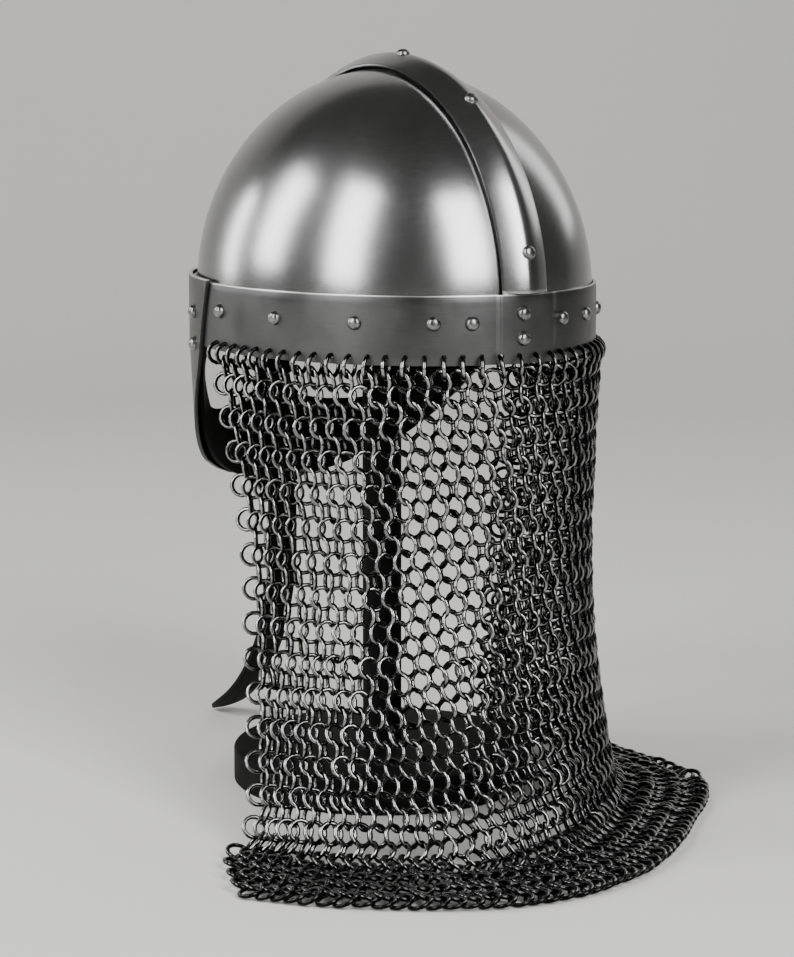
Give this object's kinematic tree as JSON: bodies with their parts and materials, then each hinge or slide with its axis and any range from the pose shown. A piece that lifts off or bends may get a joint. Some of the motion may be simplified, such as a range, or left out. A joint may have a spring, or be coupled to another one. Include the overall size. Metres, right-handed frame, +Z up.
{
  "type": "nasal helmet with mail curtain on a stand",
  "caption": "Steel nasal helmet with a ridge strap, riveted brow band, eye guard and a hanging mail curtain, set on a plain round black stand.",
  "frame": {"origin": "centre of the underside of the stand's round base", "axes": "the face looks along -Y, the wearer's left is +X, +Z is up"},
  "size_m": [0.3162, 0.418, 0.394],
  "materials": {
    "polished_steel": "satin polished",
    "dark_steel": "dull brushed",
    "rivet_steel": "polished",
    "mail_steel": "dark wire",
    "black_stand": "matt black paint",
    "black_leather": "smooth black"
  },
  "bodies": {
    "root": {"dome": "polished_steel", "ridge_strap": "polished_steel", "brow_band": "dark_steel", "face_guard": "dark_steel", "mail_aventail": "mail_steel", "stand_base": "black_stand", "stand_post": "black_stand", "chin_strap": "black_leather", "chin_strap_tail": "black_leather", "band_rivet_01": "rivet_steel", "band_rivet_02": "rivet_steel", "band_rivet_03": "rivet_steel", "band_rivet_04": "rivet_steel", "band_rivet_05": "rivet_steel", "band_rivet_06": "rivet_steel", "band_rivet_07": "rivet_steel", "band_rivet_08": "rivet_steel", "band_rivet_09": "rivet_steel", "band_rivet_10": "rivet_steel", "band_rivet_11": "rivet_steel", "band_rivet_12": "rivet_steel", "guard_rivet_01": "rivet_steel", "guard_rivet_02": "rivet_steel", "guard_rivet_03": "rivet_steel", "guard_rivet_04": "rivet_steel", "guard_rivet_05": "rivet_steel", "guard_rivet_06": "rivet_steel", "guard_rivet_07": "rivet_steel", "guard_rivet_08": "rivet_steel", "ridge_rivet_01": "rivet_steel", "ridge_rivet_02": "rivet_steel", "ridge_rivet_03": "rivet_steel", "ridge_rivet_04": "rivet_steel", "ridge_rivet_05": "rivet_steel"}
  },
  "joints": []
}
